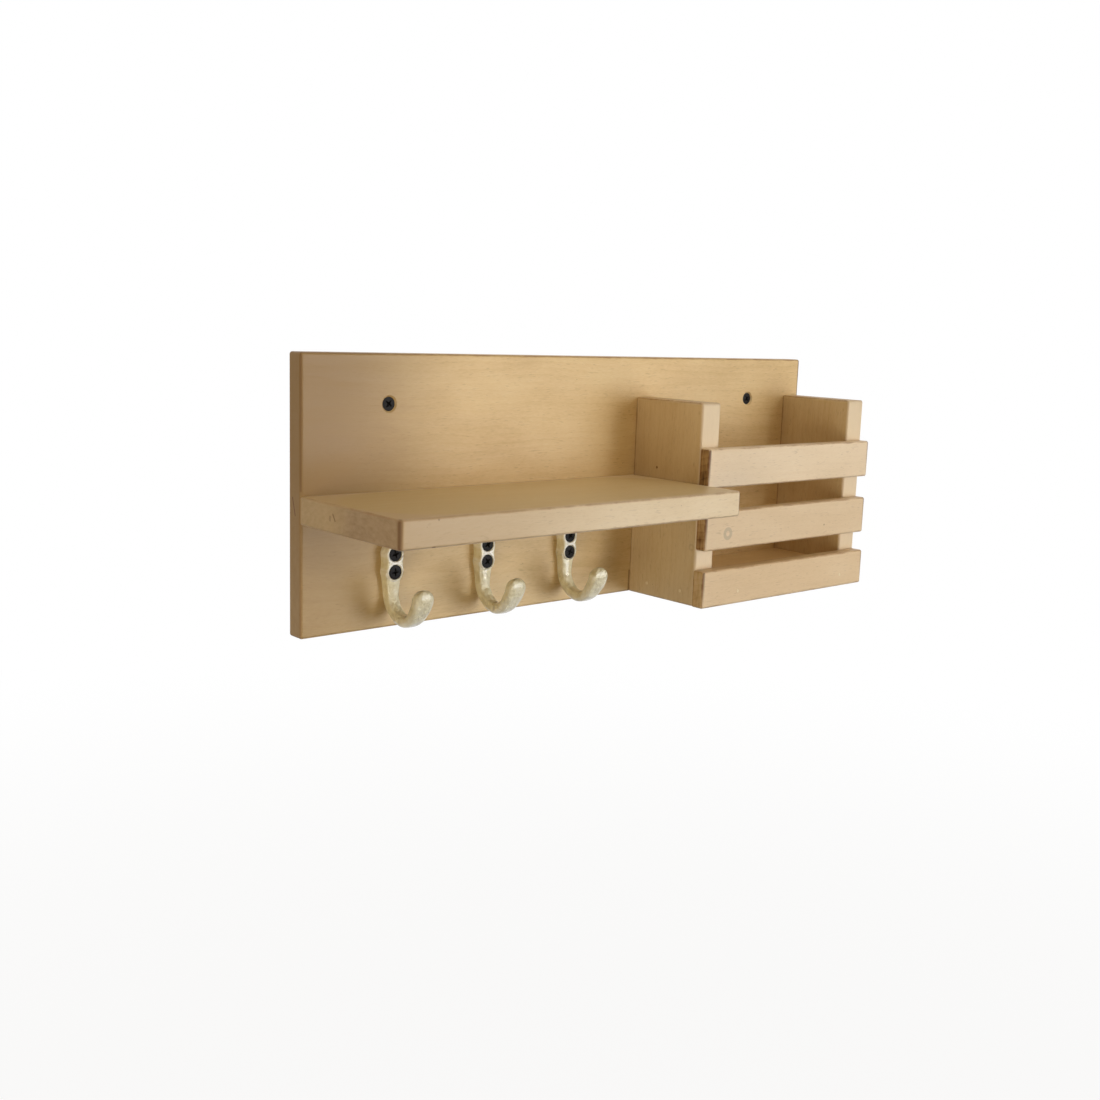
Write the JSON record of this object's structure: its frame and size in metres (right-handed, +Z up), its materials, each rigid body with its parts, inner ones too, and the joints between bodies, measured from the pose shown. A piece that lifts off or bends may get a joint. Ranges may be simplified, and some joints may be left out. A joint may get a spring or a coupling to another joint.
{
  "type": "wall key holder",
  "caption": "Wooden wall key holder: a backboard with a shelf on the left, a slatted letter pocket on the right and cast enamelled hooks below the shelf.",
  "frame": {"origin": "middle of the backboard's back face, on the wall", "axes": "+X right along the wall as seen from the room, +Y into the wall, +Z up"},
  "size_m": [0.4, 0.103, 0.15],
  "materials": {
    "backboard_wood": "satin lacquer on pale birch",
    "shelf_wood": "satin lacquer on pale birch",
    "pocket_wood": "satin lacquer on pale birch",
    "hook_enamel": "glossy cream enamel on cast metal",
    "black_screw": "black coated steel",
    "zinc_screw": "zinc plated steel",
    "nail_steel": "small flush heads filled with pale putty"
  },
  "bodies": {
    "root": {"backboard": "backboard_wood", "shelf": "shelf_wood", "pocket_side_left": "pocket_wood", "pocket_side_right": "pocket_wood", "pocket_bottom": "pocket_wood", "slat_bottom": "pocket_wood", "slat_middle": "pocket_wood", "slat_top": "pocket_wood", "hook_1": "hook_enamel", "hook_2": "hook_enamel", "hook_3": "hook_enamel", "hook_screw_1_lower": "black_screw", "hook_screw_1_upper": "black_screw", "hook_screw_2_lower": "black_screw", "hook_screw_2_upper": "black_screw", "hook_screw_3_lower": "black_screw", "hook_screw_3_upper": "black_screw", "shelf_screw_1": "zinc_screw", "shelf_screw_2": "zinc_screw", "shelf_screw_3": "zinc_screw", "side_screw_left_lower": "zinc_screw", "side_screw_left_upper": "zinc_screw", "side_screw_right_lower": "zinc_screw", "side_screw_right_upper": "zinc_screw", "nail_left_back": "nail_steel", "nail_left_front": "nail_steel", "nail_right_back": "nail_steel", "nail_right_front": "nail_steel", "slat_nail_left": "nail_steel", "slat_nail_right": "nail_steel"}
  },
  "joints": []
}
